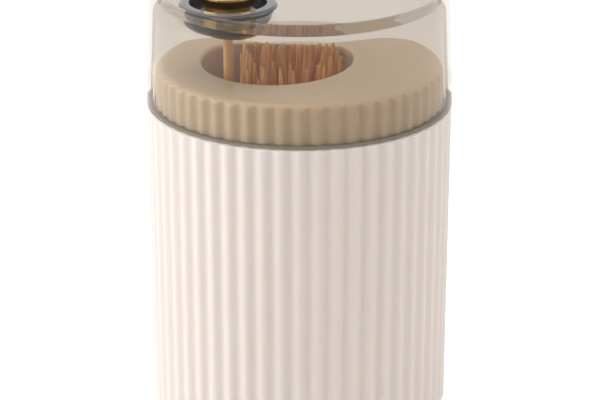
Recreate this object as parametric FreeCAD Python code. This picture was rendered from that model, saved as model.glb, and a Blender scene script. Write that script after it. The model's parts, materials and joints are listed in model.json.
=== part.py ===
import FreeCAD, Part

import math
import os

# A press-type toothpick dispenser: a fluted cup with a raised deck, a clear cover with a tray for
# its top, and a sprung ball that reaches down through the cover and brings up one toothpick.
# Millimetres. The origin is the middle of the resting face, +Z is up and the front is -Y.

# Body: radii are taken over the crests of the flutes
BODY_TOP_RADIUS = 31.35
BODY_DRAFT = 0.65
SEAM_HEIGHT = 74.2
FLUTE_COUNT = 52
FLUTE_DEPTH = 0.6
BASE_ROUND = 12.0
BODY_WALL = 2.0
FOOT_PROUD = 0.6

# Underside
BASE_OPENING_RADIUS = 16.3
BASE_PLATE_THICKNESS = 1.8
BASE_LEDGE_WIDTH = 1.8
BASE_LEDGE_THICKNESS = 1.6
FOOT_RING_INSET = 0.9
FOOT_RING_WIDTH = 1.6
FOOT_GROOVE_DEPTH = 0.8

# Screws that tie the toothpick cup to the base plate
SCREW_COUNT = 3
SCREW_CIRCLE_RADIUS = 9.2
SCREW_LENGTH = 9.0
SCREW_SHANK_RADIUS = 1.1
SCREW_HEAD_RADIUS = 2.1
SCREW_HEAD_HEIGHT = 1.0
SCREW_SLOT_WIDTH = 0.6
SCREW_SLOT_DEPTH = 0.5
POST_RADIUS = 2.7

# Seam gasket, plinth and deck
GASKET_THICKNESS = 0.4
GASKET_WIDTH = 1.1
PLINTH_CLEARANCE = 0.5
PLINTH_HEIGHT = 8.2
PLINTH_EDGE_ROUND = 2.2
PLINTH_WALL = 1.8
DECK_THICKNESS = 2.0
SKIRT_DEPTH = 12.0
SKIRT_STEP = 0.1
SKIRT_LEDGE = 1.5
SKIRT_CLEARANCE = 0.1

# Opening in the deck, an oval a little left of and behind the middle
OPENING_X = -4.5
OPENING_Y = 3.0
OPENING_SIDE_MARGIN = 14.1
OPENING_END_MARGIN = 11.1
OPENING_TURN = -12.0
OPENING_EDGE_ROUND = 0.8

# Cup that holds the toothpicks
CUP_RELIEF = 0.3
CUP_WALL = 1.4
CUP_FLOOR_THICKNESS = 1.6
CUP_FLANGE_WIDTH = 2.4
CUP_FLANGE_THICKNESS = 1.4

# Toothpicks
PICK_LENGTH = 65.0
PICK_RADIUS = 1.0
PICK_TIP_LENGTH = 6.0
PICK_TIP_RADIUS = 0.25
PICK_SIDES = 6
PICK_PITCH = 2.9
PICK_STAND = 2.6
PICK_UNEVEN = 0.5
PICK_ROW_PHASE = 5
PICK_PLACE_PHASE = 3

# Clear cover with a shallow tray for its top
COVER_OVERHANG = 0.15
COVER_DRAFT = 0.85
COVER_HEIGHT = 24.7
COVER_WALL = 1.5
COVER_LIP_ROUND = 0.7
COVER_RIM_WIDTH = 1.45
TRAY_DEPTH = 2.6
TRAY_WALL_SLOPE = 0.5
TRAY_THICKNESS = 1.7
TRAY_UNDER_ROUND = 2.0

# Turret bowl that hangs in the tray's floor and guides the press ball, and the ball itself
PICKER_DIRECTION = -155.4
TURRET_MARGIN = 2.86
TURRET_RADIUS = 9.1
TURRET_DROP = 4.6
TURRET_CORNER = 3.4
TURRET_WALL = 1.2
TURRET_FLOOR = 0.9
TURRET_FLANGE_WIDTH = 0.9
TURRET_FLANGE_THICKNESS = 0.7
BALL_RADIUS = 5.75
BALL_MOUTH_RADIUS = 4.4
BALL_BORE_RADIUS = 3.7
BALL_SKIN = 1.0
PRESS_TRAVEL = 3.0
TRAVEL_SPARE = 0.1
CORE_HEIGHT = 2.4

# Picker tube and what rides on it
TUBE_RADIUS = 2.4
TUBE_WALL = 0.5
TUBE_GUIDE_RADIUS = 1.35
SLEEVE_LENGTH = 5.4
SLEEVE_MOUTH_RADIUS = 1.75
SLEEVE_MOUTH_DEPTH = 1.2
GRIP_CLEARANCE = 0.06
COLLAR_RADIUS = 3.4
COLLAR_HEIGHT = 1.0
RUNNING_CLEARANCE = 0.1
PICK_SHOWN_ABOVE_BALL = 6.0

# Return spring
WIRE_RADIUS = 0.25
SPRING_TURNS = 4
WASHER_THICKNESS = 0.3

# Edges are found by their place to within this
EDGE_TOLERANCE = 0.01

# Heights worked out from the sizes above
base_z = FOOT_PROUD
plate_top_z = base_z + BASE_PLATE_THICKNESS
body_top_z = SEAM_HEIGHT - GASKET_THICKNESS
deck_z = SEAM_HEIGHT + PLINTH_HEIGHT
skirt_z = body_top_z - SKIRT_DEPTH
cup_floor_z = deck_z + PICK_STAND - PICK_LENGTH
rim_z = SEAM_HEIGHT + COVER_HEIGHT
tray_z = rim_z - TRAY_DEPTH
tray_under_z = tray_z - TRAY_THICKNESS
turret_z = tray_z - TURRET_DROP
turret_floor_z = turret_z + TURRET_FLOOR
turret_top_z = tray_z + TURRET_FLANGE_THICKNESS
collar_z = turret_z - TRAVEL_SPARE - COLLAR_HEIGHT
tube_bottom_z = collar_z
ball_mouth_z = turret_floor_z + PRESS_TRAVEL + TRAVEL_SPARE
ball_centre_z = ball_mouth_z + math.sqrt(BALL_RADIUS ** 2 - BALL_MOUTH_RADIUS ** 2)
ball_top_z = ball_centre_z + BALL_RADIUS
core_top_z = ball_centre_z + math.sqrt(BALL_RADIUS ** 2 - (BALL_BORE_RADIUS + BALL_SKIN) ** 2)
core_z = core_top_z - CORE_HEIGHT
washer_top_z = turret_floor_z + WASHER_THICKNESS
picked_top_z = ball_top_z + PICK_SHOWN_ABOVE_BALL
picked_z = picked_top_z - PICK_LENGTH

# Radii worked out from the sizes above
cover_bottom_radius = BODY_TOP_RADIUS + COVER_OVERHANG
plinth_radius = cover_bottom_radius - COVER_WALL - PLINTH_CLEARANCE
opening_half_width = plinth_radius - OPENING_SIDE_MARGIN
opening_half_depth = plinth_radius - OPENING_END_MARGIN
skirt_radius = plinth_radius - FLUTE_DEPTH - SKIRT_STEP
body_bore_radius = skirt_radius + SKIRT_CLEARANCE
foot_ring_outer = BASE_OPENING_RADIUS - FOOT_RING_INSET
foot_ring_inner = foot_ring_outer - FOOT_RING_WIDTH
tube_bore_radius = TUBE_RADIUS - TUBE_WALL
spring_radius = (TUBE_RADIUS + BALL_BORE_RADIUS) / 2
tray_mouth_radius = cover_bottom_radius - COVER_DRAFT - COVER_RIM_WIDTH
tray_floor_radius = tray_mouth_radius - TRAY_WALL_SLOPE
turret_flange_radius = TURRET_RADIUS + TURRET_FLANGE_WIDTH
picker_reach = tray_floor_radius - turret_flange_radius - TURRET_MARGIN
picker_x = picker_reach * math.cos(math.radians(PICKER_DIRECTION))
picker_y = picker_reach * math.sin(math.radians(PICKER_DIRECTION))


def vec(x, y, z):
    return FreeCAD.Vector(x, y, z)


def at_picker(shape):
    """Move a shape made on the Z axis onto the axis of the press ball."""
    return shape.translated(vec(picker_x, picker_y, 0))


def revolved(points):
    """Revolve a closed outline of (radius, height) points about the Z axis."""
    wire = Part.makePolygon([vec(r, 0, z) for r, z in points + points[:1]])
    return Part.Face(wire).revolve(vec(0, 0, 0), vec(0, 0, 1), 360)


def revolved_edges(edges):
    """Revolve a closed outline of lines and arcs about the Z axis."""
    return Part.Face(Part.Wire(edges)).revolve(vec(0, 0, 0), vec(0, 0, 1), 360)


def line(start, end):
    return Part.LineSegment(vec(start[0], 0, start[1]), vec(end[0], 0, end[1])).toShape()


def corner(centre, radius, start_degrees, end_degrees):
    """An arc of a corner in the (radius, height) plane, with its two ends."""
    middle_degrees = (start_degrees + end_degrees) / 2
    spots = []
    for degrees in (start_degrees, middle_degrees, end_degrees):
        angle = math.radians(degrees)
        spots.append((centre[0] + radius * math.cos(angle), centre[1] + radius * math.sin(angle)))
    arc = Part.Arc(*[vec(r, 0, z) for r, z in spots]).toShape()
    return arc, spots[0], spots[2]


def tube(outer_radius, inner_radius, low, high):
    """A ring between two heights."""
    outer = Part.makeCylinder(outer_radius, high - low, vec(0, 0, low))
    return outer.cut(Part.makeCylinder(inner_radius, high - low, vec(0, 0, low)))


def fluted_wire(crest_radius, z):
    """A closed outline of soft reeds: a convex arc and a concave arc to each pitch."""
    middle_radius = crest_radius - FLUTE_DEPTH / 2
    quarter = 2 * math.pi / FLUTE_COUNT / 4

    def spot(radius, quarters):
        angle = quarters * quarter - math.pi / 2
        return vec(radius * math.cos(angle), radius * math.sin(angle), z)

    edges = []
    for flute in range(FLUTE_COUNT):
        crest = 4 * flute
        ends = [spot(middle_radius, crest - 1), spot(middle_radius, crest + 1), spot(middle_radius, crest + 3)]
        edges.append(Part.Arc(ends[0], spot(crest_radius, crest), ends[1]).toShape())
        edges.append(Part.Arc(ends[1], spot(crest_radius - FLUTE_DEPTH, crest + 2), ends[2]).toShape())
    return Part.Wire(edges)


def fluted_column(bottom_radius, top_radius, low, high):
    """A column with straight flutes, its radius changing evenly from bottom to top."""
    return Part.makeLoft([fluted_wire(bottom_radius, low), fluted_wire(top_radius, high)], True, True)


def oval(growth, low, high):
    """An upright column on the outline of the deck's opening, grown all round."""
    half_width = opening_half_width + growth
    half_depth = opening_half_depth + growth
    ellipse = Part.Ellipse(vec(0, half_depth, low), vec(half_width, 0, low), vec(0, 0, low))
    column = Part.Face(Part.Wire(ellipse.toShape())).extrude(vec(0, 0, high - low))
    column.rotate(vec(0, 0, 0), vec(0, 0, 1), OPENING_TURN)
    return column.translated(vec(OPENING_X, OPENING_Y, 0))


def body_radius_at(z):
    """Crest radius of the body's wall at a height."""
    return BODY_TOP_RADIUS - BODY_DRAFT * (body_top_z - z) / (body_top_z - base_z)


def body_shell():
    """Fluted shell: flutes trimmed by a rounded bottom corner, hollow, with two inner ledges."""
    round_top_z = base_z + BASE_ROUND
    trim_radius = body_radius_at(round_top_z) + FLUTE_DEPTH / 2
    trim_corner, start, end = corner((trim_radius - BASE_ROUND, round_top_z), BASE_ROUND, -90, 0)
    top = (BODY_TOP_RADIUS + FLUTE_DEPTH, body_top_z)
    trim = revolved_edges([line((0, base_z), start), trim_corner, line(end, top), line(top, (0, body_top_z)),
                           line((0, body_top_z), (0, base_z))])
    column = fluted_column(body_radius_at(base_z), BODY_TOP_RADIUS, base_z, body_top_z)
    solid = column.common(trim)

    ledge_z = plate_top_z + BASE_LEDGE_THICKNESS
    ledge_radius = BASE_OPENING_RADIUS - BASE_LEDGE_WIDTH
    valley = body_radius_at(round_top_z) - FLUTE_DEPTH
    inner_round = BASE_ROUND - BODY_WALL
    inner_centre = (valley - BODY_WALL - inner_round, ledge_z + inner_round)
    inner_corner, inner_start, inner_end = corner(inner_centre, inner_round, -90, 0)
    cavity_top_radius = body_radius_at(skirt_z) - FLUTE_DEPTH - BODY_WALL
    under_ledge = (cavity_top_radius, skirt_z - 2 * SKIRT_LEDGE)
    ledge_lip = (body_bore_radius - SKIRT_LEDGE, skirt_z - SKIRT_LEDGE)
    outline = [(0, base_z), (BASE_OPENING_RADIUS, base_z), (BASE_OPENING_RADIUS, plate_top_z),
               (ledge_radius, plate_top_z), (ledge_radius, ledge_z), inner_start]
    edges = [line(a, b) for a, b in zip(outline, outline[1:])] + [inner_corner]
    upper = [inner_end, under_ledge, ledge_lip, (ledge_lip[0], skirt_z), (body_bore_radius, skirt_z),
             (body_bore_radius, body_top_z), (0, body_top_z), (0, base_z)]
    edges += [line(a, b) for a, b in zip(upper, upper[1:])]
    return solid.cut(revolved_edges(edges))


def screw_spots():
    """Centres of the screws, evenly spaced on their circle."""
    step = 2 * math.pi / SCREW_COUNT
    for index in range(SCREW_COUNT):
        angle = math.pi / 2 + index * step
        yield vec(SCREW_CIRCLE_RADIUS * math.cos(angle), SCREW_CIRCLE_RADIUS * math.sin(angle), 0)


def base_plate():
    """Round plate that closes the underside, with a foot groove and countersunk screw holes."""
    plate = Part.makeCylinder(BASE_OPENING_RADIUS - SKIRT_CLEARANCE, BASE_PLATE_THICKNESS, vec(0, 0, base_z))
    plate = plate.cut(tube(foot_ring_outer, foot_ring_inner, base_z, base_z + FOOT_GROOVE_DEPTH))
    for spot in screw_spots():
        plate = plate.cut(Part.makeCylinder(SCREW_HEAD_RADIUS + SKIRT_CLEARANCE, SCREW_HEAD_HEIGHT,
                                            spot + vec(0, 0, base_z)))
        plate = plate.cut(Part.makeCylinder(SCREW_SHANK_RADIUS + SKIRT_CLEARANCE, BASE_PLATE_THICKNESS,
                                            spot + vec(0, 0, base_z)))
    return plate


def base_screws():
    """Three pan-head screws with a plain slot, head down."""
    screws = []
    for spot in screw_spots():
        head = Part.makeCylinder(SCREW_HEAD_RADIUS, SCREW_HEAD_HEIGHT, vec(0, 0, base_z))
        slot = Part.makeBox(2 * SCREW_HEAD_RADIUS, SCREW_SLOT_WIDTH, SCREW_SLOT_DEPTH,
                            vec(-SCREW_HEAD_RADIUS, -SCREW_SLOT_WIDTH / 2, base_z))
        shank = Part.makeCylinder(SCREW_SHANK_RADIUS, SCREW_LENGTH, vec(0, 0, base_z + SCREW_HEAD_HEIGHT))
        screws.append(head.cut(slot).fuse(shank).translated(spot))
    return Part.makeCompound(screws)


def foot_ring():
    """Soft ring in the base plate's groove, which the dispenser stands on."""
    ring = tube(foot_ring_outer, foot_ring_inner, 0, base_z + FOOT_GROOVE_DEPTH)
    low_edges = [edge for edge in ring.Edges if edge.BoundBox.ZMax < base_z / 2]
    return ring.makeChamfer(FOOT_RING_WIDTH / 5, low_edges)


def plinth_deck():
    """Fluted plinth with a rounded top edge, a deck with an oval opening, and a skirt below."""
    edge_centre = (plinth_radius + FLUTE_DEPTH / 2 - PLINTH_EDGE_ROUND, deck_z - PLINTH_EDGE_ROUND)
    edge_round, start, end = corner(edge_centre, PLINTH_EDGE_ROUND, 0, 90)
    low = (start[0], SEAM_HEIGHT)
    trim = revolved_edges([line((0, SEAM_HEIGHT), low), line(low, start), edge_round, line(end, (0, deck_z)),
                           line((0, deck_z), (0, SEAM_HEIGHT))])
    column = Part.Face(fluted_wire(plinth_radius, SEAM_HEIGHT)).extrude(vec(0, 0, PLINTH_HEIGHT))
    plinth = column.common(trim)
    skirt = Part.makeCylinder(skirt_radius, SEAM_HEIGHT - skirt_z, vec(0, 0, skirt_z))
    bore_radius = skirt_radius - PLINTH_WALL
    bore = Part.makeCylinder(bore_radius, deck_z - DECK_THICKNESS - skirt_z, vec(0, 0, skirt_z))
    opening = oval(0, skirt_z, deck_z)
    deck = plinth.fuse(skirt).removeSplitter().cut(bore).cut(opening)
    rim = [edge for edge in deck.Edges if edge.BoundBox.ZMin > deck_z - EDGE_TOLERANCE
           and isinstance(edge.Curve, Part.Ellipse)]
    return deck.makeFillet(OPENING_EDGE_ROUND, rim)


def toothpick_cup():
    """Oval cup under the deck, with a flange at its mouth and three screw posts below its floor."""
    mouth_z = deck_z - DECK_THICKNESS
    under_z = cup_floor_z - CUP_FLOOR_THICKNESS
    wall = oval(CUP_RELIEF + CUP_WALL, under_z, mouth_z)
    flange = oval(CUP_RELIEF + CUP_WALL + CUP_FLANGE_WIDTH, mouth_z - CUP_FLANGE_THICKNESS, mouth_z)
    cup = wall.fuse(flange).cut(oval(CUP_RELIEF, cup_floor_z, mouth_z))
    for spot in screw_spots():
        post = Part.makeCylinder(POST_RADIUS, under_z - plate_top_z, spot + vec(0, 0, plate_top_z))
        cup = cup.fuse(post)
    for spot in screw_spots():
        depth = base_z + SCREW_HEAD_HEIGHT + SCREW_LENGTH - plate_top_z
        cup = cup.cut(Part.makeCylinder(SCREW_SHANK_RADIUS, depth, spot + vec(0, 0, plate_top_z)))
    return cup.removeSplitter()


def seam_gasket():
    """Thin flat ring between the body's rim and the cover's lower edge."""
    outer_radius = BODY_TOP_RADIUS - FLUTE_DEPTH - SKIRT_CLEARANCE
    return tube(outer_radius, outer_radius - GASKET_WIDTH, body_top_z, SEAM_HEIGHT)


def toothpick(low, radius, sides):
    """A double-pointed toothpick with flat facets, standing on the Z axis."""
    def ring(ring_radius, z):
        spots = []
        for side in range(sides):
            angle = 2 * math.pi * side / sides
            spots.append(vec(ring_radius * math.cos(angle), ring_radius * math.sin(angle), z))
        return Part.makePolygon(spots + spots[:1])

    heights = [low, low + PICK_TIP_LENGTH, low + PICK_LENGTH - PICK_TIP_LENGTH, low + PICK_LENGTH]
    radii = [PICK_TIP_RADIUS, radius, radius, PICK_TIP_RADIUS]
    return Part.makeLoft([ring(r, z) for r, z in zip(radii, heights)], True, True)


def toothpick_spots():
    """Places for the stored toothpicks: rows across the cup, clear of the picker and of the far end."""
    reach_x = OPENING_X - picker_x
    reach_y = OPENING_Y - picker_y
    reach = math.hypot(reach_x, reach_y)
    along = (reach_x / reach, reach_y / reach)
    turn = math.radians(OPENING_TURN)
    nearest = COLLAR_RADIUS + 2 * PICK_RADIUS + PICK_UNEVEN - reach
    farthest = reach / 2
    row_step = PICK_PITCH * math.sqrt(3) / 2
    rows = int((farthest - nearest) / row_step) + 1
    places = int(opening_half_depth / PICK_PITCH) + 1
    for row in range(rows):
        forward = nearest + row * row_step
        for place in range(-places, places + 1):
            sideways = (place + (row % 2) / 2) * PICK_PITCH
            x = forward * along[0] - sideways * along[1]
            y = forward * along[1] + sideways * along[0]
            across = (x * math.cos(turn) + y * math.sin(turn)) / (opening_half_width - 2 * PICK_RADIUS)
            deep = (y * math.cos(turn) - x * math.sin(turn)) / (opening_half_depth - 2 * PICK_RADIUS)
            if across ** 2 + deep ** 2 < 1:
                yield x + OPENING_X, y + OPENING_Y, row, place


def toothpick_bundle():
    """The stored toothpicks, upright on the cup's floor, no two rows quite the same height."""
    picks = []
    for x, y, row, place in toothpick_spots():
        lift = PICK_UNEVEN * (1 + math.sin(PICK_ROW_PHASE * row + PICK_PLACE_PHASE * place))
        picks.append(toothpick(cup_floor_z + lift, PICK_RADIUS, PICK_SIDES).translated(vec(x, y, 0)))
    return Part.makeCompound(picks)


def cover_radius_at(z):
    """Outer radius of the cover at a height."""
    return cover_bottom_radius - COVER_DRAFT * (z - SEAM_HEIGHT) / COVER_HEIGHT


def cover_shell():
    """Clear cover: a tapering wall, a rounded rim, and a shallow tray with a hole for the turret."""
    lip_centre = (cover_radius_at(rim_z) - COVER_LIP_ROUND, rim_z - COVER_LIP_ROUND)
    lip, lip_start, lip_end = corner(lip_centre, COVER_LIP_ROUND, 0, 90)
    under_centre = (cover_radius_at(tray_under_z) - COVER_WALL - TRAY_UNDER_ROUND, tray_under_z - TRAY_UNDER_ROUND)
    under, under_start, under_end = corner(under_centre, TRAY_UNDER_ROUND, 0, 90)
    over_tray = [lip_end, (tray_mouth_radius, rim_z), (tray_floor_radius, tray_z), (0, tray_z),
                 (0, tray_under_z), under_end]
    below = [under_start, (cover_bottom_radius - COVER_WALL, SEAM_HEIGHT), (cover_bottom_radius, SEAM_HEIGHT),
             lip_start]
    edges = [line(a, b) for a, b in zip(over_tray, over_tray[1:])]
    edges += [line(a, b) for a, b in zip(below, below[1:])]
    cover = revolved_edges(Part.__sortEdges__(edges + [lip, under]))
    turret_hole = at_picker(Part.makeCylinder(TURRET_RADIUS, TRAY_THICKNESS, vec(0, 0, tray_under_z)))
    return cover.cut(turret_hole)


def turret_pod():
    """Round-bottomed bowl that hangs in the tray's floor by its flange; its own floor guides the tube."""
    bore_radius = TUBE_RADIUS + RUNNING_CLEARANCE
    corner_radius = TURRET_RADIUS - TURRET_CORNER
    outer_arc, outer_start, outer_end = corner((corner_radius, turret_z + TURRET_CORNER), TURRET_CORNER, -90, 0)
    inner_round = TURRET_CORNER - TURRET_WALL
    inner_arc, inner_start, inner_end = corner((corner_radius, turret_floor_z + inner_round), inner_round, -90, 0)
    lip_centre = (turret_flange_radius - TURRET_FLANGE_THICKNESS, tray_z)
    lip, lip_start, lip_end = corner(lip_centre, TURRET_FLANGE_THICKNESS, 0, 90)
    outside = [inner_start, (bore_radius, turret_floor_z), (bore_radius, turret_z), outer_start]
    flange = [outer_end, (TURRET_RADIUS, tray_z), lip_start]
    mouth = [lip_end, (TURRET_RADIUS - TURRET_WALL, turret_top_z), inner_end]
    edges = []
    for run in (outside, flange, mouth):
        edges += [line(a, b) for a, b in zip(run, run[1:])]
    return at_picker(revolved_edges(Part.__sortEdges__(edges + [outer_arc, inner_arc, lip])))


def spring_washer():
    """Thin washer on the turret's floor that the spring stands on."""
    outer_radius = spring_radius + 2 * WIRE_RADIUS
    return at_picker(tube(outer_radius, TUBE_RADIUS + RUNNING_CLEARANCE, turret_floor_z, washer_top_z))


def gold_ball():
    """Press ball: a sphere with a flat mouth, a blind bore from below and a hole for the toothpick."""
    ball = Part.makeSphere(BALL_RADIUS, vec(0, 0, ball_centre_z))
    below = Part.makeCylinder(2 * BALL_RADIUS, BALL_RADIUS, vec(0, 0, ball_mouth_z - BALL_RADIUS))
    bore = Part.makeCylinder(BALL_BORE_RADIUS, core_top_z - ball_mouth_z, vec(0, 0, ball_mouth_z))
    hole = Part.makeCylinder(TUBE_GUIDE_RADIUS, BALL_RADIUS, vec(0, 0, core_top_z))
    return at_picker(ball.cut(below).cut(bore).cut(hole))


def button_core():
    """Bush that holds the picker tube in the ball and gives the spring its upper seat."""
    return at_picker(tube(BALL_BORE_RADIUS, TUBE_RADIUS, core_z, core_top_z))


def picker_tube():
    """Tube that the toothpick passes up through, bored wider at its foot for the sleeve."""
    sleeve_top_z = tube_bottom_z + SLEEVE_LENGTH
    points = [(tube_bore_radius, tube_bottom_z), (TUBE_RADIUS, tube_bottom_z), (TUBE_RADIUS, core_top_z),
              (TUBE_GUIDE_RADIUS, core_top_z), (TUBE_GUIDE_RADIUS, sleeve_top_z),
              (tube_bore_radius, sleeve_top_z)]
    return at_picker(revolved(points))


def stop_collar():
    """Collar pressed on the foot of the tube, which stops it under the turret's floor."""
    return at_picker(tube(COLLAR_RADIUS, TUBE_RADIUS, collar_z, collar_z + COLLAR_HEIGHT))


def gripper_sleeve():
    """Soft sleeve in the foot of the tube, with a flared mouth that takes hold of one toothpick."""
    grip_radius = PICK_RADIUS + GRIP_CLEARANCE
    points = [(SLEEVE_MOUTH_RADIUS, tube_bottom_z), (tube_bore_radius, tube_bottom_z),
              (tube_bore_radius, tube_bottom_z + SLEEVE_LENGTH), (grip_radius, tube_bottom_z + SLEEVE_LENGTH),
              (grip_radius, tube_bottom_z + SLEEVE_MOUTH_DEPTH)]
    return at_picker(revolved(points))


def picked_toothpick():
    """The toothpick that the sleeve holds, its upper point above the ball."""
    return at_picker(toothpick(picked_z, PICK_RADIUS, 2 * PICK_SIDES))


def biarc(start, start_way, end, end_way):
    """Two arcs that leave one point and reach another in given directions."""
    chord = end - start
    ways = start_way + end_way
    turning = 2 * (1 - start_way.dot(end_way))
    reach = (-chord.dot(ways) + math.sqrt(chord.dot(ways) ** 2 + turning * chord.dot(chord))) / turning
    middle = (start + end + (start_way - end_way) * reach) * 0.5
    return [arc_from(start, start_way, middle), arc_from(end, end_way * -1, middle)]


def arc_from(start, way, end):
    """The arc that leaves a point in a given direction and ends at another."""
    chord = end - start
    inward = chord - way * chord.dot(way)
    inward.normalize()
    radius = chord.dot(chord) / (2 * chord.dot(inward))
    centre = start + inward * radius
    outward = (start + end) * 0.5 - centre
    outward.normalize()
    return Part.Arc(start, centre + outward * radius, end).toShape()


def return_spring():
    """Wire spring round the tube: one unbroken tube along arcs, two to each half turn."""
    low = washer_top_z + WIRE_RADIUS
    climb = (core_z - WIRE_RADIUS - low) / SPRING_TURNS

    def on_spring(half_turns):
        angle = half_turns * math.pi
        spot = vec(spring_radius * math.cos(angle), spring_radius * math.sin(angle), low + climb * half_turns / 2)
        way = vec(-spring_radius * math.sin(angle), spring_radius * math.cos(angle), climb / (2 * math.pi))
        way.normalize()
        return spot, way

    edges = []
    for half_turns in range(2 * SPRING_TURNS):
        edges += biarc(*on_spring(half_turns), *on_spring(half_turns + 1))
    path = Part.Wire(Part.__sortEdges__(edges))
    start, way = on_spring(0)
    section = Part.Wire(Part.Circle(start, way, WIRE_RADIUS).toShape())
    spring = path.makePipeShell([section], True, False)
    samples = path.discretize(40 * SPRING_TURNS)
    apart = len(samples) // SPRING_TURNS // 2
    gaps = []
    for index, spot in enumerate(samples):
        for other in samples[index + apart:]:
            gaps.append(spot.distanceToPoint(other))
    print("return_spring least gap to itself, mm:", round(min(gaps) - 2 * WIRE_RADIUS, 2))
    print("return_spring volume over section times length:",
          round(spring.Volume / (math.pi * WIRE_RADIUS ** 2 * path.Length), 3))
    return at_picker(spring)


NODES = {
    "body_shell": body_shell,
    "base_plate": base_plate,
    "base_screws": base_screws,
    "foot_ring": foot_ring,
    "plinth_deck": plinth_deck,
    "toothpick_cup": toothpick_cup,
    "seam_gasket": seam_gasket,
    "toothpick_bundle": toothpick_bundle,
    "cover_shell": cover_shell,
    "turret_pod": turret_pod,
    "spring_washer": spring_washer,
    "return_spring": return_spring,
    "gold_ball": gold_ball,
    "button_core": button_core,
    "picker_tube": picker_tube,
    "stop_collar": stop_collar,
    "gripper_sleeve": gripper_sleeve,
    "picked_toothpick": picked_toothpick,
}

os.makedirs("parts", exist_ok=True)
for name, make in NODES.items():
    shape = make()
    shape.exportStep(f"parts/{name}.step")
    print(name, "solids", len(shape.Solids), "valid", shape.isValid(), "volume", round(shape.Volume, 1))
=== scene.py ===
# %% [markdown]
# A toothpick dispenser: a fluted cream cup under a smoky clear cover, with a sprung gold ball on top.
# The construction is loaded first and stays where it is. This lesson then gives each piece its
# finish, and models anew the pieces whose curves have to look smooth close up.

import json
import math
import random

import bmesh
import bpy
from mathutils import Matrix, Vector


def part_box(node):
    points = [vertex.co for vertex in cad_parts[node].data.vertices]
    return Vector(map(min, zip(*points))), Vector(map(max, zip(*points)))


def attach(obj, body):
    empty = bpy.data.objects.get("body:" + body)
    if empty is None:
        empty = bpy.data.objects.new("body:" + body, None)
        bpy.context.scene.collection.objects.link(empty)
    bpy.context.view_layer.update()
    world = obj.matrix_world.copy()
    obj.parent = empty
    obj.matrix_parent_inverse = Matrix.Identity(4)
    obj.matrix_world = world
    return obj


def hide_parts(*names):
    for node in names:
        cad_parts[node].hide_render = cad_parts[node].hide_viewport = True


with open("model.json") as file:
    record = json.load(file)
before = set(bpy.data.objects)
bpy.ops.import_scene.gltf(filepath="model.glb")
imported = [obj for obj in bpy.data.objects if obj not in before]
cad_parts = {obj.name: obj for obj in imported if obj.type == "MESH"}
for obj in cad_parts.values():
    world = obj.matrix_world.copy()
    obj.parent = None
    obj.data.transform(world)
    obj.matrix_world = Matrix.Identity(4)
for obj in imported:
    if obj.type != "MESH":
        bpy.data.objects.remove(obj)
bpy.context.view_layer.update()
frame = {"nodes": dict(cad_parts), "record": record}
MM = 0.001
print("pieces in the construction:", len(frame["nodes"]))

# %% [markdown]
# The camera looks down at about twenty degrees from the front. A long lens from 0.6 m keeps the cup's
# sides nearly upright, as in a product photograph. The cup fills the frame and is cut off above and
# below, so the aim point is a height on the cup's axis rather than its middle.

# %% Camera
IMAGE_WIDTH_PX = 600
AIM_HEIGHT = 52.2 * MM
CAMERA_DISTANCE = 607 * MM
CAMERA_PITCH = math.radians(20)
FOCAL_PX = 2910
SENSOR_WIDTH_MM = 36
AXIS_PX = 299.5

bpy.ops.object.select_all(action="DESELECT")
camera_y = -CAMERA_DISTANCE * math.cos(CAMERA_PITCH)
camera_z = AIM_HEIGHT + CAMERA_DISTANCE * math.sin(CAMERA_PITCH)
bpy.ops.object.camera_add(location=(0, camera_y, camera_z), rotation=(math.pi / 2 - CAMERA_PITCH, 0, 0))
camera = bpy.context.object
camera.data.sensor_width = SENSOR_WIDTH_MM
camera.data.lens = FOCAL_PX / IMAGE_WIDTH_PX * SENSOR_WIDTH_MM
camera.data.shift_x = (IMAGE_WIDTH_PX / 2 - AXIS_PX) / IMAGE_WIDTH_PX
bpy.context.scene.camera = camera
bpy.context.scene.view_settings.view_transform = "Standard"
print("lens, mm:", round(camera.data.lens, 1))

# %% [markdown]
# A sweep of white surrounds the cup. The floor is an ordinary white surface, so it keeps the cup's
# soft shadow, and a little of its own light for the camera, for mirrors and for clear plastic lifts
# it to plain white. The world does the same behind it.

# %% Background
BACKDROP_SIZE = 6.0
FLOOR_LIFT = 0.46
WORLD_FILL = 0.55
WORLD_COLOUR = (1, 0.955, 0.925, 1)


def calculate(tree, operation, *values):
    """The value of a Math node that is fed with numbers and with other nodes' outputs."""
    node = tree.nodes.new("ShaderNodeMath")
    node.operation = operation
    for socket, value in zip(node.inputs, values):
        if isinstance(value, bpy.types.NodeSocket):
            tree.links.new(value, socket)
        else:
            socket.default_value = value
    return node.outputs["Value"]


def set_inputs(shader, values):
    for title, value in values.items():
        shader.inputs[title].default_value = value


def seen_directly(tree):
    """A value of 1 for rays from the camera, a mirror or clear plastic, and 0 for the rest."""
    path = tree.nodes.new("ShaderNodeLightPath")
    mirrored = calculate(tree, "MAXIMUM", path.outputs["Is Camera Ray"], path.outputs["Is Glossy Ray"])
    return calculate(tree, "MAXIMUM", mirrored, path.outputs["Is Transmission Ray"])


def mix_shaders(tree, share, first, second, output):
    """Mix two shaders into a tree's output."""
    mix = tree.nodes.new("ShaderNodeMixShader")
    for socket, source in zip(mix.inputs, (share, first, second)):
        tree.links.new(source, socket)
    tree.links.new(mix.outputs["Shader"], tree.nodes[output].inputs["Surface"])


def floor_material():
    material = bpy.data.materials.new("white_sweep")
    material.use_nodes = True
    tree = material.node_tree
    shader = tree.nodes["Principled BSDF"]
    set_inputs(shader, {"Base Color": (0.86, 0.86, 0.86, 1), "Roughness": 0.9, "Specular IOR Level": 0.0,
                        "Emission Color": (1, 1, 1, 1)})
    lift = calculate(tree, "MULTIPLY", seen_directly(tree), FLOOR_LIFT)
    tree.links.new(lift, shader.inputs["Emission Strength"])
    return material


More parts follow.
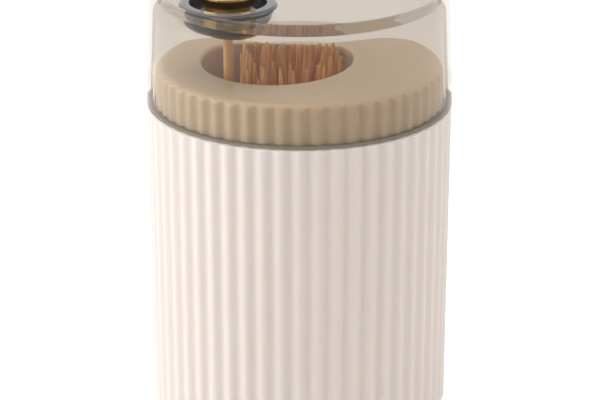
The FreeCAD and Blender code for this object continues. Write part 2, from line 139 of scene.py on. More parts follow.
def make_world():
    world = bpy.data.worlds.new("studio")
    world.use_nodes = True
    bpy.context.scene.world = world
    tree = world.node_tree
    lit = tree.nodes["Background"]
    set_inputs(lit, {"Color": WORLD_COLOUR, "Strength": WORLD_FILL})
    shown = tree.nodes.new("ShaderNodeBackground")
    set_inputs(shown, {"Color": (1, 1, 1, 1), "Strength": 1.0})
    mix_shaders(tree, seen_directly(tree), lit.outputs["Background"], shown.outputs["Background"],
                "World Output")


bpy.ops.object.select_all(action="DESELECT")
bpy.ops.mesh.primitive_plane_add(size=BACKDROP_SIZE)
floor = bpy.context.object
floor.name = "floor"
floor.data.materials.append(floor_material())
make_world()
print("floor and world are in")

# %% [markdown]
# Two soft lamps stand almost level with the cup, one at each side and the left one far the stronger,
# so the left of the cup is nearly white, the middle falls into a warm shade and the right picks up a
# little again. They graze the flutes, which is what shows them. A weak lamp above lights the deck.

# %% Lamps
LAMPS = {
    "left_softbox": {"place": (-0.70, -0.12, 0.26), "size": (0.95, 0.70), "watts": 4.8,
                     "colour": (0.90, 0.96, 1)},
    "right_softbox": {"place": (0.68, -0.14, 0.26), "size": (0.60, 0.60), "watts": 1.2,
                      "colour": (0.92, 0.97, 1)},
    "top_light": {"place": (-0.10, 0.12, 0.75), "size": (0.45, 0.45), "watts": 1.1,
                  "colour": (1, 0.98, 0.96)},
}
LAMP_AIM = Vector((0, 0, 0.06))

for name, lamp in LAMPS.items():
    place = Vector(lamp["place"])
    bpy.ops.object.light_add(type="AREA", location=place)
    light = bpy.context.object
    light.name = name
    light.rotation_euler = (LAMP_AIM - place).to_track_quat("-Z", "Y").to_euler()
    light.data.shape = "RECTANGLE"
    light.data.size, light.data.size_y = lamp["size"]
    light.data.energy = lamp["watts"]
    light.data.color = lamp["colour"]
print("lamps:", ", ".join(LAMPS))

# %% [markdown]
# Moulded plastic is never one even colour up close: it has a faint mottle and a very fine skin. The
# same effect, at other strengths, suits the clear cover, the smoked turret and the metal, so it is a
# node group with named inputs, built once and placed in each material.

# %% Shared surface group
MOTTLE_SCALE = 55
MOTTLE_DETAIL = 3
GRAIN_DETAIL = 2
SKIN_DEPTH = 0.05 * MM
SOCKETS = {
    "INPUT": {"Colour": "Color", "Mottle Colour": "Color", "Mottle": "Float", "Roughness": "Float",
              "Roughness Spread": "Float", "Grain Size": "Float"},
    "OUTPUT": {"Colour": "Color", "Roughness": "Float", "Height": "Float"},
}


def moulded_surface():
    """Colour, roughness and height that vary a little over a surface, from its own coordinates."""
    group = bpy.data.node_groups.new("moulded_surface", "ShaderNodeTree")
    for side, titles in SOCKETS.items():
        for title, kind in titles.items():
            group.interface.new_socket(title, in_out=side, socket_type="NodeSocket" + kind)
    nodes, links = group.nodes, group.links
    given = nodes.new("NodeGroupInput")
    made = nodes.new("NodeGroupOutput")
    place = nodes.new("ShaderNodeTexCoord")
    cloud = nodes.new("ShaderNodeTexNoise")
    set_inputs(cloud, {"Scale": MOTTLE_SCALE, "Detail": MOTTLE_DETAIL})
    grain = nodes.new("ShaderNodeTexNoise")
    set_inputs(grain, {"Detail": GRAIN_DETAIL})
    links.new(place.outputs["Object"], cloud.inputs["Vector"])
    links.new(place.outputs["Object"], grain.inputs["Vector"])
    links.new(given.outputs["Grain Size"], grain.inputs["Scale"])
    blend = nodes.new("ShaderNodeMix")
    blend.data_type = "RGBA"
    amount = calculate(group, "MULTIPLY", cloud.outputs["Fac"], given.outputs["Mottle"])
    links.new(amount, blend.inputs["Factor"])
    links.new(given.outputs["Colour"], blend.inputs["A"])
    links.new(given.outputs["Mottle Colour"], blend.inputs["B"])
    roughness = calculate(group, "MULTIPLY_ADD", cloud.outputs["Fac"], given.outputs["Roughness Spread"],
                          given.outputs["Roughness"])
    links.new(blend.outputs["Result"], made.inputs["Colour"])
    links.new(roughness, made.inputs["Roughness"])
    links.new(grain.outputs["Fac"], made.inputs["Height"])
    return group


SURFACE = moulded_surface()


def material_with_surface(name, colour, mottle_colour, mottle, roughness, spread, grain_size, skin):
    """A material whose colour, roughness and fine skin come from the shared group."""
    material = bpy.data.materials.new(name)
    material.use_nodes = True
    nodes, links = material.node_tree.nodes, material.node_tree.links
    shader = nodes["Principled BSDF"]
    surface = nodes.new("ShaderNodeGroup")
    surface.node_tree = SURFACE
    set_inputs(surface, {"Colour": (*colour, 1), "Mottle Colour": (*mottle_colour, 1), "Mottle": mottle,
                         "Roughness": roughness, "Roughness Spread": spread, "Grain Size": grain_size})
    bump = nodes.new("ShaderNodeBump")
    set_inputs(bump, {"Strength": skin, "Distance": SKIN_DEPTH})
    links.new(surface.outputs["Height"], bump.inputs["Height"])
    links.new(surface.outputs["Colour"], shader.inputs["Base Color"])
    links.new(surface.outputs["Roughness"], shader.inputs["Roughness"])
    links.new(bump.outputs["Normal"], shader.inputs["Normal"])
    return material, shader


print("group inputs:", ", ".join(SOCKETS["INPUT"]))

# %% [markdown]
# The clear cover is the hardest finish. With a real refraction, the edge of its tray catches the view
# in many small mirrors and turns black. So the wall hardly bends a ray, and its gleam comes from a
# clear coat instead. Rays that the wall would trap, rays that have gone far already and the shadow
# rays of the lamps go straight on through it, a little tinted. Its transmission stays a plain number.

# %% Clear cover
SHOWN_BOUNCES = 2
MOSTLY_MIRROR = 0.4
LAMP_TINT = (0.99, 0.98, 0.96, 1)
LATE_TINT = (0.80, 0.775, 0.74, 1)


def pass_straight(material, shader):
    """Let shadow rays, late rays and rays the wall would trap go straight on through it, tinted."""
    tree = material.node_tree
    path = tree.nodes.new("ShaderNodeLightPath")
    mirror = tree.nodes.new("ShaderNodeFresnel")
    set_inputs(mirror, {"IOR": shader.inputs["IOR"].default_value})
    late = calculate(tree, "GREATER_THAN", path.outputs["Ray Depth"], SHOWN_BOUNCES)
    trapped = calculate(tree, "GREATER_THAN", mirror.outputs["Fac"], MOSTLY_MIRROR)
    straight = calculate(tree, "MAXIMUM", path.outputs["Is Shadow Ray"], late)
    straight = calculate(tree, "MAXIMUM", straight, trapped)
    tint = tree.nodes.new("ShaderNodeMix")
    tint.data_type = "RGBA"
    set_inputs(tint, {"A": LATE_TINT, "B": LAMP_TINT})
    tree.links.new(path.outputs["Is Shadow Ray"], tint.inputs["Factor"])
    plain = tree.nodes.new("ShaderNodeBsdfTransparent")
    tree.links.new(tint.outputs["Result"], plain.inputs["Color"])
    mix_shaders(tree, straight, shader.outputs["BSDF"], plain.outputs["BSDF"], "Material Output")


def clear_cover():
    material, shader = material_with_surface("clear_cover", (0.74, 0.70, 0.655), (0.72, 0.68, 0.635),
                                             mottle=0.5, roughness=0.012, spread=0.01, grain_size=300, skin=0.03)
    set_inputs(shader, {"Transmission Weight": 1.0, "IOR": 1.02, "Coat Weight": 0.5, "Coat Roughness": 0.02,
                        "Coat IOR": 1.46})
    pass_straight(material, shader)
    return material


MATERIALS = {"clear_cover": clear_cover()}
print("cover passes rays straight after", SHOWN_BOUNCES, "bounces")

# %% [markdown]
# The other finishes. The cup is a satin moulding that light enters a little, with a thin gloss coat,
# and the plinth is the same plastic in a warmer tone. That tone is painted warm shade, standing in for
# the light that reaches it tinted through the smoky cover. The turret is a dark smoky plastic that still
# lets some light through, and the ball is mirror gold.

# %% Plastics and metals
def satin_plastic(name, colour):
    darker = tuple(0.94 * part for part in colour)
    material, shader = material_with_surface(name, colour, darker, mottle=0.35, roughness=0.30, spread=0.10,
                                             grain_size=1400, skin=0.12)
    set_inputs(shader, {"Subsurface Weight": 0.8, "Subsurface Radius": (1.0, 0.80, 0.65),
                        "Subsurface Scale": 2.2 * MM, "Coat Weight": 0.15, "Coat Roughness": 0.15})
    return material


def smoked_plastic():
    material, shader = material_with_surface("smoked_plastic", (0.120, 0.118, 0.132), (0.080, 0.078, 0.088),
                                             mottle=0.5, roughness=0.05, spread=0.04, grain_size=500, skin=0.05)
    set_inputs(shader, {"Transmission Weight": 0.30, "IOR": 1.49, "Coat Weight": 0.4, "Coat Roughness": 0.03})
    return material


def gold_plating():
    material, shader = material_with_surface("gold_plating", (0.92, 0.62, 0.27), (0.86, 0.53, 0.20), mottle=0.4,
                                             roughness=0.045, spread=0.03, grain_size=700, skin=0.04)
    set_inputs(shader, {"Metallic": 1.0})
    return material


def bright_steel():
    material, shader = material_with_surface("bright_steel", (0.62, 0.62, 0.61), (0.50, 0.50, 0.50), mottle=0.5,
                                             roughness=0.18, spread=0.15, grain_size=2500, skin=0.15)
    set_inputs(shader, {"Metallic": 1.0})
    return material


def soft_silicone(name, colour):
    darker = tuple(0.8 * part for part in colour)
    material, shader = material_with_surface(name, colour, darker, mottle=0.5, roughness=0.55, spread=0.15,
                                             grain_size=1800, skin=0.2)
    set_inputs(shader, {"Sheen Weight": 0.1})
    return material


MATERIALS.update({
    "cream_plastic": satin_plastic("cream_plastic", (0.85, 0.762, 0.705)),
    # Painted warm shade: the plinth's warmer tone stands in for light tinted by the smoky cover
    "cream_painted_warm_shade": satin_plastic("cream_painted_warm_shade", (0.85, 0.69, 0.51)),
    "smoked_plastic": smoked_plastic(),
    "smoked_trim": soft_silicone("smoked_trim", (0.050, 0.040, 0.034)),
    "gold_plating": gold_plating(),
    "steel": bright_steel(),
    "white_plastic": soft_silicone("white_plastic", (0.72, 0.70, 0.67)),
    "silicone_foot": soft_silicone("silicone_foot", (0.36, 0.32, 0.28)),
    "silicone_gasket": soft_silicone("silicone_gasket", (0.30, 0.25, 0.215)),
    "silicone_grip": soft_silicone("silicone_grip", (0.28, 0.12, 0.045)),
})
print("finishes so far:", ", ".join(MATERIALS))

# %% [markdown]
# Toothpicks are plain birch or bamboo. The grain runs along the stick, so the noise is stretched
# along Z, which suits sticks that stand nearly upright. Pores are darker streaks, and the colour
# shifts a little from place to place so that neighbours differ.

# %% Wood
ALONG_THE_GRAIN = 0.05
STREAK_SCALE = 2600
STREAK_DETAIL = 4
STREAK_SHARE = 0.45
PATCH_SCALE = 420
PATCH_SHARE = 0.6
WOOD_RAMP = [(0.32, (0.74, 0.32, 0.11, 1)), (0.68, (0.97, 0.63, 0.31, 1))]


def toothpick_wood():
    material = bpy.data.materials.new("toothpick_wood")
    material.use_nodes = True
    tree = material.node_tree
    nodes, links = tree.nodes, tree.links
    shader = nodes["Principled BSDF"]
    place = nodes.new("ShaderNodeTexCoord")
    stretch = nodes.new("ShaderNodeMapping")
    set_inputs(stretch, {"Scale": (1, 1, ALONG_THE_GRAIN)})
    links.new(place.outputs["Object"], stretch.inputs["Vector"])
    streaks = nodes.new("ShaderNodeTexNoise")
    set_inputs(streaks, {"Scale": STREAK_SCALE, "Detail": STREAK_DETAIL})
    patches = nodes.new("ShaderNodeTexNoise")
    set_inputs(patches, {"Scale": PATCH_SCALE})
    links.new(stretch.outputs["Vector"], streaks.inputs["Vector"])
    links.new(stretch.outputs["Vector"], patches.inputs["Vector"])
    colours = nodes.new("ShaderNodeValToRGB")
    for element, (position, colour) in zip(colours.color_ramp.elements, WOOD_RAMP):
        element.position, element.color = position, colour
    patch_part = calculate(tree, "MULTIPLY", patches.outputs["Fac"], PATCH_SHARE)
    grain = calculate(tree, "MULTIPLY_ADD", streaks.outputs["Fac"], STREAK_SHARE, patch_part)
    links.new(grain, colours.inputs["Fac"])
    links.new(colours.outputs["Color"], shader.inputs["Base Color"])
    set_inputs(shader, {"Roughness": 0.55})
    bump = nodes.new("ShaderNodeBump")
    set_inputs(bump, {"Strength": 0.25, "Distance": 0.06 * MM})
    links.new(streaks.outputs["Fac"], bump.inputs["Height"])
    links.new(bump.outputs["Normal"], shader.inputs["Normal"])
    return material


MATERIALS["wood"] = toothpick_wood()
print("materials:", len(MATERIALS))

# %% [markdown]
# Every construction piece first gets the finish of its material slot. The ones that are modelled anew
# below are then hidden by their replacements.

# %% Finish the construction pieces
for part_row in frame["record"]["subparts"]:
    node = frame["nodes"][part_row["node"]]
    node.data.materials.clear()
    node.data.materials.append(MATERIALS[part_row["material_slot"]])

# %% [markdown]
# Round pieces are built ring by ring, as one would by hand: a circle is placed, extruded along the
# wall, and each new ring is resized to the radius of the outline there. A closed outline ends where
# it began, and the two open rings are bridged. The helper keeps the axis and the height of the last
# ring, because the new ring is moved from there.

# %% Helpers for round pieces
SMOOTH_BELOW = math.radians(40)
ROUND_STEPS = 128
DOUBLE_GAP = 1e-7
SAME_HEIGHT = 0.001 * MM


class Turned:
    """A round piece in the making, with its axis and its last ring."""

    def __init__(self, name, steps, radius, z, centre=(0, 0)):
        bpy.ops.object.select_all(action="DESELECT")
        bpy.ops.mesh.primitive_circle_add(vertices=steps, radius=radius, location=(*centre, z))
        self.piece = bpy.context.object
        self.piece.name = name
        self.piece.data.name = name
        bpy.ops.object.transform_apply(location=True, rotation=True, scale=True)
        bpy.ops.object.mode_set(mode="EDIT")
        bpy.ops.mesh.select_mode(type="VERT")
        bpy.ops.mesh.select_all(action="SELECT")
        self.steps, self.radius, self.z, self.centre = steps, radius, z, centre

    def ring(self, radius, z):
        """Extrude the last ring to a new radius and height."""
        bpy.ops.mesh.extrude_region_move(TRANSFORM_OT_translate={"value": (0, 0, z - self.z)})
        scale = radius / self.radius
        bpy.ops.transform.resize(value=(scale, scale, 1), center_override=(*self.centre, z))
        self.radius, self.z = radius, z

    def rings(self, outline):
        for radius, z in outline:
            self.ring(radius, z)

    def close(self):
        """Bridge the two open rings of a closed outline."""
        bpy.ops.mesh.select_all(action="DESELECT")
        bpy.ops.mesh.select_non_manifold(extend=False, use_wire=False, use_multi_face=False,
                                         use_non_contiguous=False, use_verts=False)
        bpy.ops.mesh.bridge_edge_loops()

    def done(self, body, slot, nodes, finish=None):
        """Leave edit mode with outward faces, and hand the piece over to its body."""
        bpy.ops.mesh.select_all(action="SELECT")
        bpy.ops.mesh.remove_doubles(threshold=DOUBLE_GAP)
        bpy.ops.mesh.normals_make_consistent(inside=False)
        bpy.ops.object.mode_set(mode="OBJECT")
        hand_over(self.piece, body, slot, nodes, finish)
        return self.piece


def hand_over(piece, body, slot, nodes, finish=None):
    bpy.ops.object.select_all(action="DESELECT")
    piece.select_set(True)
    bpy.context.view_layer.objects.active = piece
    bpy.ops.object.shade_smooth_by_angle(angle=SMOOTH_BELOW)
    piece.data.materials.clear()
    piece.data.materials.append(MATERIALS[finish or slot])
    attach(piece, body)
    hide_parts(*nodes)
    print(piece.name, "faces", len(piece.data.polygons))


def bend(centre, radius, start_degrees, end_degrees, steps):
    """Points of a rounded corner in the (radius, height) plane."""
    for step in range(steps + 1):
        angle = math.radians(start_degrees + (end_degrees - start_degrees) * step / steps)
        yield centre[0] + radius * math.cos(angle), centre[1] + radius * math.sin(angle)


def select_open_edges(piece, height):
    """Select the open edges at a height."""
    mesh = bmesh.from_edit_mesh(piece.data)
    bpy.ops.mesh.select_all(action="DESELECT")
    for edge in mesh.edges:
        if len(edge.link_faces) < 2 and all(abs(vertex.co.z - height) < SAME_HEIGHT for vertex in edge.verts):
            edge.select = True
    bmesh.update_edit_mesh(piece.data)


# %% [markdown]
# Heights, and the radii that the construction shows from outside, are read from its boxes, so this
# lesson follows it. Only sizes that no box shows are named here.

# %% Sizes from the construction
CLEARANCE = 0.1 * MM
FLUTES = 52
FLUTE_DEPTH = 0.6 * MM
COVER_WALL = 1.5 * MM
TRAY_DEPTH = 2.6 * MM
TRAY_THICKNESS = 1.7 * MM

base_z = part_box("body_shell")[0][2]
body_top_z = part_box("body_shell")[1][2]
body_top_radius = -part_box("body_shell")[0][1]
skirt_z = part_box("plinth_deck")[0][2]
deck_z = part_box("plinth_deck")[1][2]
plinth_radius = -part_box("plinth_deck")[0][1]
seam_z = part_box("cover_shell")[0][2]
rim_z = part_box("cover_shell")[1][2]
cover_bottom_radius = -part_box("cover_shell")[0][1]
tray_z = rim_z - TRAY_DEPTH
picker = [(low + high) / 2 for low, high in zip(*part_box("stop_collar"))][:2]
print("seam, deck and rim, mm:", [round(z / MM, 1) for z in (seam_z, deck_z, rim_z)])

# %% [markdown]
# The flutes are shallow reeds. A ring is pulled onto them by taking the points of like phase together
# and resizing them to their own radius: the crest keeps the outline's radius and the valley is less
# by the depth. Where a rounded corner is already inside the flutes, the corner wins, so the flutes
# run out on it as they do on the moulding.

# %% Flutes
FLUTE_STEPS = 12
RING_STEPS = FLUTES * FLUTE_STEPS


def flute_radius(crest, phase):
    return crest - FLUTE_DEPTH * (1 - math.cos(2 * math.pi * phase / FLUTE_STEPS)) / 2


def pull_onto_flutes(turned, crest, corner_radius=math.inf):
    """Resize the selected ring, phase by phase, to the flutes or to the corner that trims them."""
    mesh = bmesh.from_edit_mesh(turned.piece.data)
    ring = [vertex for vertex in mesh.verts if vertex.select]
    groups = {}
    for vertex in ring:
        angle = math.atan2(vertex.co.y, vertex.co.x) + math.pi / 2
        phase = round(angle / (2 * math.pi / RING_STEPS)) % FLUTE_STEPS
        groups.setdefault(min(phase, FLUTE_STEPS - phase), []).append(vertex)
    for phase, vertices in groups.items():
        for vertex in ring:
            vertex.select = False
        for vertex in vertices:
            vertex.select = True
        target = min(corner_radius, flute_radius(crest, phase))
        scale = target / math.hypot(vertices[0].co.x, vertices[0].co.y)
        bpy.ops.transform.resize(value=(scale, scale, 1), center_override=(0, 0, turned.z))
    for vertex in ring:
        vertex.select = True
    mesh.select_flush_mode()
    bmesh.update_edit_mesh(turned.piece.data)


# %% [markdown]
# The cup's shell is the largest surface. Its outline is the construction's: a 12 mm rounded corner at
# the base, a wall that widens a little towards the seam, a narrow rim, and an inner wall with the
# ledge that the plinth stands on and the seat of the base plate. The rings of the corner and the wall
# are pulled onto the flutes. The inner side is plain.

# %% Body shell
BODY_DRAFT = 0.65 * MM
BODY_WALL = 2 * MM
BASE_ROUND = 12 * MM
RIM_ROUND = 0.3 * MM
LEDGE = 1.5 * MM
BASE_OPENING = 16.3 * MM
SEAT_WIDTH = 1.8 * MM
SEAT_HEIGHT = 1.8 * MM
SEAT_THICKNESS = 1.6 * MM
WALL_RINGS = 6


def body_crest(z):
    return body_top_radius - BODY_DRAFT * (body_top_z - z) / (body_top_z - base_z)


def body_inside():
    """The inner side, from the rim down to the seat of the base plate."""
    bore = plinth_radius - FLUTE_DEPTH
    under_ledge = body_crest(skirt_z) - FLUTE_DEPTH - BODY_WALL
    outline = [(bore, body_top_z), (bore, skirt_z), (bore - LEDGE, skirt_z), (bore - LEDGE, skirt_z - LEDGE),
               (under_ledge, skirt_z - 2 * LEDGE)]
    floor_z = base_z + SEAT_HEIGHT + SEAT_THICKNESS
    inner_round = BASE_ROUND - BODY_WALL
    wall = body_crest(base_z + BASE_ROUND) - FLUTE_DEPTH - BODY_WALL
    outline += bend((wall - inner_round, floor_z + inner_round), inner_round, 0, -90, steps=8)
    seat = BASE_OPENING - SEAT_WIDTH
    return outline + [(seat, floor_z), (seat, base_z + SEAT_HEIGHT), (BASE_OPENING, base_z + SEAT_HEIGHT)]


def make_body_shell():
    round_top = base_z + BASE_ROUND
    corner_reach = body_crest(round_top) + FLUTE_DEPTH / 2
    shell = Turned("cup_shell", RING_STEPS, BASE_OPENING, base_z)
    for radius, z in bend((corner_reach - BASE_ROUND, round_top), BASE_ROUND, -90, 0, steps=18):
        shell.ring(radius, z)
        pull_onto_flutes(shell, body_crest(z), radius)
    wall_height = body_top_z - RIM_ROUND - round_top
    for level in range(1, WALL_RINGS + 1):
        z = round_top + wall_height * level / WALL_RINGS
        shell.ring(body_crest(z), z)
        pull_onto_flutes(shell, body_crest(z))
    shell.ring(body_top_radius - FLUTE_DEPTH - RIM_ROUND, body_top_z)
    shell.rings(body_inside())
    shell.close()
    return shell.done("housing", "cream_plastic", ["body_shell"])


make_body_shell()

# %% [markdown]
# The plinth stands inside the cover. Its flutes are cut off by a 2.2 mm rounded edge at the deck. The
# deck's opening is an oval, turned a little and set off to the left and back: a second circle is
# resized, turned and moved to it, and bridged to the deck's edge ring.

# %% Plinth and deck
PLINTH_EDGE = 2.2 * MM
PLINTH_WALL = 1.8 * MM
DECK_THICKNESS = 2.0 * MM
DECK_FLAT_MARGIN = 0.9 * MM
OPENING_SIDE_MARGIN = 14.1 * MM
OPENING_END_MARGIN = 11.1 * MM
OPENING = {"centre": (-4.5 * MM, 3.0 * MM), "half_width": plinth_radius - OPENING_SIDE_MARGIN,
           "half_depth": plinth_radius - OPENING_END_MARGIN, "turn": math.radians(-12), "edge": 0.8 * MM}
EDGE_STOPS = (20, 45, 70, 90)


def oval_ring(z, growth):
    """Add a ring on the opening's oval to the mesh in edit mode, and leave only it selected."""
    bpy.ops.mesh.select_all(action="DESELECT")
    bpy.ops.mesh.primitive_circle_add(vertices=RING_STEPS, radius=1 * MM, location=(0, 0, z))
    size = ((OPENING["half_width"] + growth) / MM, (OPENING["half_depth"] + growth) / MM, 1)
    bpy.ops.transform.resize(value=size, center_override=(0, 0, z))
    # With no window, rotate turns the other way
    bpy.ops.transform.rotate(value=-OPENING["turn"], orient_axis="Z", center_override=(0, 0, z))
    bpy.ops.transform.translate(value=(*OPENING["centre"], 0))


def narrow_oval(drop, factor):
    """Extrude the selected oval ring downwards and resize it about the opening's centre."""
    bpy.ops.mesh.extrude_region_move(TRANSFORM_OT_translate={"value": (0, 0, -drop)})
    bpy.ops.transform.resize(value=(factor, factor, 1), center_override=(*OPENING["centre"], deck_z))


def add_opening():
    """The opening's rounded edge and its wall, from the deck's top down to its underside."""
    edge = OPENING["edge"]
    reach = (OPENING["half_width"] + OPENING["half_depth"]) / 2
    oval_ring(deck_z, edge)
    depth, growth = 0, edge
    for degrees in EDGE_STOPS:
        angle = math.radians(degrees)
        next_depth, next_growth = edge * (1 - math.cos(angle)), edge * (1 - math.sin(angle))
        narrow_oval(next_depth - depth, (reach + next_growth) / (reach + growth))
        depth, growth = next_depth, next_growth
    narrow_oval(DECK_THICKNESS - depth, 1)


def make_plinth():
    edge_centre = (plinth_radius + FLUTE_DEPTH / 2 - PLINTH_EDGE, deck_z - PLINTH_EDGE)
    skirt_radius = plinth_radius - FLUTE_DEPTH - CLEARANCE
    under_z = deck_z - DECK_THICKNESS
    plinth = Turned("plinth", RING_STEPS, skirt_radius, skirt_z)
    plinth.ring(skirt_radius, seam_z)
    for z in (seam_z, (seam_z + edge_centre[1]) / 2):
        plinth.ring(plinth_radius, z)
        pull_onto_flutes(plinth, plinth_radius)
    for radius, z in bend(edge_centre, PLINTH_EDGE, 0, 90, steps=10):
        plinth.ring(radius, z)
        pull_onto_flutes(plinth, plinth_radius, radius)
    plinth.ring(edge_centre[0] - DECK_FLAT_MARGIN, deck_z)
    add_opening()
    select_open_edges(plinth.piece, deck_z)
    bpy.ops.mesh.bridge_edge_loops()
    bpy.ops.mesh.select_all(action="DESELECT")
    bpy.ops.mesh.primitive_circle_add(vertices=RING_STEPS, radius=skirt_radius - PLINTH_WALL,
                                      location=(0, 0, under_z))
    select_open_edges(plinth.piece, under_z)
    bpy.ops.mesh.bridge_edge_loops()
    plinth.close()
    # The plinth's finish is painted warm shade, for the light that reaches it through the cover
    return plinth.done("housing", "cream_plastic", ["plinth_deck"], "cream_painted_warm_shade")


make_plinth()

# %% [markdown]
# The cover is one clear moulding: a tapering wall with a rounded lip, and a shallow tray for its top.
# It is a closed body with both its surfaces, because each of them gleams and each tints what is seen
# through it. The turret's hole is cut with a Boolean.

# %% Cover
COVER_STEPS = 256
COVER_DRAFT = 0.85 * MM
COVER_RIM_WIDTH = 1.45 * MM
COVER_LIP = 0.7 * MM
COVER_FOOT_EDGE = 0.2 * MM
TRAY_WALL_SLOPE = 0.5 * MM
TRAY_UNDER_ROUND = 2.0 * MM
MIDDLE_CAP = 0.5 * MM
TURRET_RADIUS = 9.1 * MM


def cover_radius(z):
    return cover_bottom_radius - COVER_DRAFT * (z - seam_z) / (rim_z - seam_z)


def cut_round_hole(piece, radius, low, high, centre):
    bpy.ops.object.select_all(action="DESELECT")
    bpy.ops.mesh.primitive_cylinder_add(vertices=ROUND_STEPS, radius=radius, depth=high - low,
                                        location=(*centre, (low + high) / 2))
    cutter = bpy.context.object
    cut = piece.modifiers.new("hole", "BOOLEAN")
    cut.object = cutter
    cut.solver = "EXACT"
    bpy.ops.object.select_all(action="DESELECT")
    piece.select_set(True)
    bpy.context.view_layer.objects.active = piece
    bpy.ops.object.modifier_apply(modifier=cut.name)
    bpy.data.objects.remove(cutter)


def make_cover():
    under_z = tray_z - TRAY_THICKNESS
    bottom_inside = cover_bottom_radius - COVER_WALL
    round_centre = (cover_radius(under_z) - COVER_WALL - TRAY_UNDER_ROUND, under_z - TRAY_UNDER_ROUND)
    tray_mouth = cover_radius(rim_z) - COVER_RIM_WIDTH
    cover = Turned("clear_cover", COVER_STEPS, MIDDLE_CAP, under_z)
    cover.rings(bend(round_centre, TRAY_UNDER_ROUND, 90, 0, steps=12))
    foot_top_z = seam_z + COVER_FOOT_EDGE
    cover.rings([(bottom_inside, foot_top_z), (bottom_inside + COVER_FOOT_EDGE, seam_z),
                 (cover_bottom_radius - COVER_FOOT_EDGE, seam_z), (cover_bottom_radius, foot_top_z)])
    cover.rings(bend((cover_radius(rim_z) - COVER_LIP, rim_z - COVER_LIP), COVER_LIP, 0, 90, steps=8))
    cover.rings([(tray_mouth, rim_z), (tray_mouth - TRAY_WALL_SLOPE, tray_z), (MIDDLE_CAP, tray_z)])
    for z in (under_z, tray_z):
        select_open_edges(cover.piece, z)
        bpy.ops.mesh.edge_face_add()
    piece = cover.done("cover", "clear_cover", ["cover_shell"])
    cut_round_hole(piece, TURRET_RADIUS, under_z - CLEARANCE, tray_z + CLEARANCE, picker)
    return piece


make_cover()

# %% [markdown]
# The turret is a small round-bottomed bowl of smoked plastic. It hangs in the tray's floor by its
# flange and guides the ball and the tube.

# %% Turret
TURRET_CORNER = 3.4 * MM
TURRET_WALL = 1.2 * MM
TURRET_FLOOR = 0.9 * MM
TURRET_FLANGE_WIDTH = 0.9 * MM
TUBE_BORE = 2.5 * MM

turret_z, turret_top_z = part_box("turret_pod")[0][2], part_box("turret_pod")[1][2]


def make_turret():
    flange_thickness = turret_top_z - tray_z
    flange_centre = (TURRET_RADIUS + TURRET_FLANGE_WIDTH - flange_thickness, tray_z)
    floor_z = turret_z + TURRET_FLOOR
    inner_round = TURRET_CORNER - TURRET_WALL
    corner_radius = TURRET_RADIUS - TURRET_CORNER
    turret = Turned("turret", ROUND_STEPS, TUBE_BORE, floor_z, picker)
    turret.ring(TUBE_BORE, turret_z)
    turret.rings(bend((corner_radius, turret_z + TURRET_CORNER), TURRET_CORNER, -90, 0, steps=16))
    turret.ring(TURRET_RADIUS, tray_z)
    turret.rings(bend(flange_centre, flange_thickness, 0, 90, steps=8))
    turret.ring(TURRET_RADIUS - TURRET_WALL, turret_top_z)
    turret.rings(bend((corner_radius, floor_z + inner_round), inner_round, 0, -90, steps=12))
    turret.close()
    return turret.done("cover", "smoked_plastic", ["turret_pod"])


make_turret()

# %% [markdown]
# The press ball is a hollow plated sphere with a flat mouth below and a small hole on top for the
# toothpick. It is turned like the rest, from its bore up and over.

# %% Gold ball
BALL_RADIUS = 5.75 * MM
BALL_MOUTH = 4.4 * MM
BALL_BORE = 3.7 * MM
BALL_SKIN = 1.0 * MM
BALL_HOLE = 1.35 * MM


def make_ball():
    mouth_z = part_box("gold_ball")[0][2]
    centre_z = mouth_z + math.sqrt(BALL_RADIUS ** 2 - BALL_MOUTH ** 2)
    roof_z = centre_z + math.sqrt(BALL_RADIUS ** 2 - (BALL_BORE + BALL_SKIN) ** 2)
    mouth_degrees = -math.degrees(math.acos(BALL_MOUTH / BALL_RADIUS))
    hole_degrees = math.degrees(math.acos(BALL_HOLE / BALL_RADIUS))
    ball = Turned("press_ball", ROUND_STEPS, BALL_HOLE, roof_z, picker)
    ball.rings([(BALL_BORE, roof_z), (BALL_BORE, mouth_z)])
    ball.rings(bend((0, centre_z), BALL_RADIUS, mouth_degrees, hole_degrees, steps=40))
    ball.close()
    return ball.done("button", "gold_plating", ["gold_ball"])


make_ball()

# %% [markdown]
# A toothpick is a thin round stick with a long point at each end. One is modelled: a ring is extruded
# along the stick, drawn in towards each end and closed there. The held toothpick stands upright on
# the picker's axis.

# %% One toothpick
PICK_LENGTH = 65 * MM
PICK_RADIUS = 1.0 * MM
POINT_LENGTH = 18 * MM
# Share of the full radius, and share of the way along the point
PICK_POINT = [(0.92, 0.18), (0.77, 0.42), (0.58, 0.66), (0.40, 0.87), (0.20, 1.0)]
SHAFT_RINGS = 4


def make_toothpick(name, steps):
    """A toothpick on the Z axis with its middle at the origin."""
    half = PICK_LENGTH / 2 - POINT_LENGTH
    pick = Turned(name, steps, PICK_RADIUS, -half)
    for level in range(1, SHAFT_RINGS + 1):
        pick.ring(PICK_RADIUS, -half + 2 * half * level / SHAFT_RINGS)
    for width, along in PICK_POINT:
        pick.ring(PICK_RADIUS * width, half + POINT_LENGTH * along)
    bpy.ops.mesh.edge_face_add()
    select_open_edges(pick.piece, -half)
    pick.radius, pick.z = PICK_RADIUS, -half
    for width, along in PICK_POINT:
        pick.ring(PICK_RADIUS * width, -half - POINT_LENGTH * along)
    bpy.ops.mesh.edge_face_add()
    bpy.ops.mesh.select_all(action="SELECT")
    bpy.ops.mesh.normals_make_consistent(inside=False)
    bpy.ops.object.mode_set(mode="OBJECT")
    return pick.piece


def stand(piece, foot, tip):
    """Place the toothpick between two points; a short one keeps its thickness."""
    way = tip - foot
    turn = way.to_track_quat("Z", "Y").to_matrix().to_4x4()
    shorten = Matrix.Scale(way.length / PICK_LENGTH, 4, (0, 0, 1))
    piece.data.transform(Matrix.Translation((foot + tip) / 2) @ turn @ shorten)


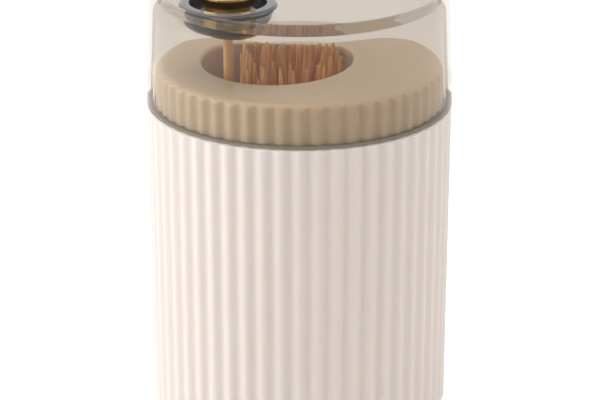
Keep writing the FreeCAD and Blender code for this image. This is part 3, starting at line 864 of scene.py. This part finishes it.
def make_picked_toothpick():
    piece = make_toothpick("held_toothpick", steps=24)
    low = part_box("picked_toothpick")[0]
    foot = Vector((*picker, low[2]))
    stand(piece, foot, foot + Vector((0, 0, PICK_LENGTH)))
    hand_over(piece, "toothpick", "wood", ["picked_toothpick"])


make_picked_toothpick()

# %% [markdown]
# The cup holds some seventy toothpicks, which lean this way and that and end at uneven heights, the
# front ones lowest. Each gets a foot, a lean and a length by seeded chance. A place is kept only when
# both ends are inside the cup, the stick is clear of the picker's way and it touches no other stick.
# Every stick is a copy with its own mesh, and the copies are joined into one piece.

# %% Toothpicks in the cup
CUP_MARGIN = 1.5 * MM
STICKS = 74
MOST_TRIES = 60000
FOOT_SPAN_X = (-20, 11)
FOOT_SPAN_Y = (-16, 22)
FOOT_LIFT = 0.6
LEAN = 4.0 * MM
UNEVEN_BY = 3.0 * MM
FRONT_LOWER_BY = 1.0 * MM
PICKER_ROOM = 2.2 * MM
PICKER_CHECKS = (0, 0.25, 0.5, 0.75, 0.9, 1)
STICK_GAP = 2.02 * PICK_RADIUS
GAP_CHECKS = 16
CUP_DICE = random.Random(11)

cup_floor_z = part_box("toothpick_bundle")[0][2]


def inside_cup(spot):
    turn = OPENING["turn"]
    dx, dy = spot.x - OPENING["centre"][0], spot.y - OPENING["centre"][1]
    across = (dx * math.cos(turn) + dy * math.sin(turn)) / (OPENING["half_width"] - CUP_MARGIN)
    deep = (dy * math.cos(turn) - dx * math.sin(turn)) / (OPENING["half_depth"] - CUP_MARGIN)
    return math.hypot(across, deep) < 1


def clear_of_picker(foot, tip):
    return all(foot.lerp(tip, share).x - picker[0] >= PICKER_ROOM for share in PICKER_CHECKS)


def segment_gap(a0, a1, b0, b1):
    """Least distance between two sticks' axes, looked for at even heights."""
    return min((a0.lerp(a1, share / GAP_CHECKS) - b0.lerp(b1, share / GAP_CHECKS)).length
               for share in range(GAP_CHECKS + 1))


def frontness(foot):
    """From 0 at the back of the opening to 1 at its front."""
    depth = (OPENING["centre"][1] + OPENING["half_depth"] - foot.y) / (2 * OPENING["half_depth"])
    return min(1, max(0, depth))


def pick_places():
    """Feet and tips for the sticks, none through the wall, the picker's way or another stick."""
    placed = []
    tries = 0
    while len(placed) < STICKS and tries < MOST_TRIES:
        tries += 1
        foot = Vector((CUP_DICE.uniform(*FOOT_SPAN_X) * MM, CUP_DICE.uniform(*FOOT_SPAN_Y) * MM,
                       cup_floor_z + CUP_DICE.uniform(0, FOOT_LIFT) * MM))
        lean = Vector((CUP_DICE.gauss(0, LEAN), CUP_DICE.gauss(0, LEAN), 0))
        length = PICK_LENGTH - CUP_DICE.uniform(0, UNEVEN_BY) - FRONT_LOWER_BY * frontness(foot)
        tip = foot + lean + Vector((0, 0, math.sqrt(length ** 2 - lean.length_squared)))
        if not (inside_cup(foot) and inside_cup(tip) and clear_of_picker(foot, tip)):
            continue
        if all(segment_gap(foot, tip, *other) > STICK_GAP for other in placed):
            placed.append((foot, tip))
    return placed


def make_bundle():
    first = make_toothpick("stored_toothpicks", steps=14)
    copies = []
    for foot, tip in pick_places():
        copy = first.copy()
        copy.data = first.data.copy()
        bpy.context.scene.collection.objects.link(copy)
        copy.data.transform(Matrix.Rotation(CUP_DICE.uniform(0, math.pi), 4, "Z"))
        stand(copy, foot, tip)
        copies.append(copy)
    bpy.data.objects.remove(first)
    bpy.ops.object.select_all(action="DESELECT")
    for copy in copies:
        copy.select_set(True)
    bpy.context.view_layer.objects.active = copies[0]
    bpy.ops.object.join()
    bundle = bpy.context.object
    bundle.name = "stored_toothpicks"
    bundle.data.name = "stored_toothpicks"
    hand_over(bundle, "housing", "wood", ["toothpick_bundle"])
    print("sticks in the cup:", len(copies))


make_bundle()
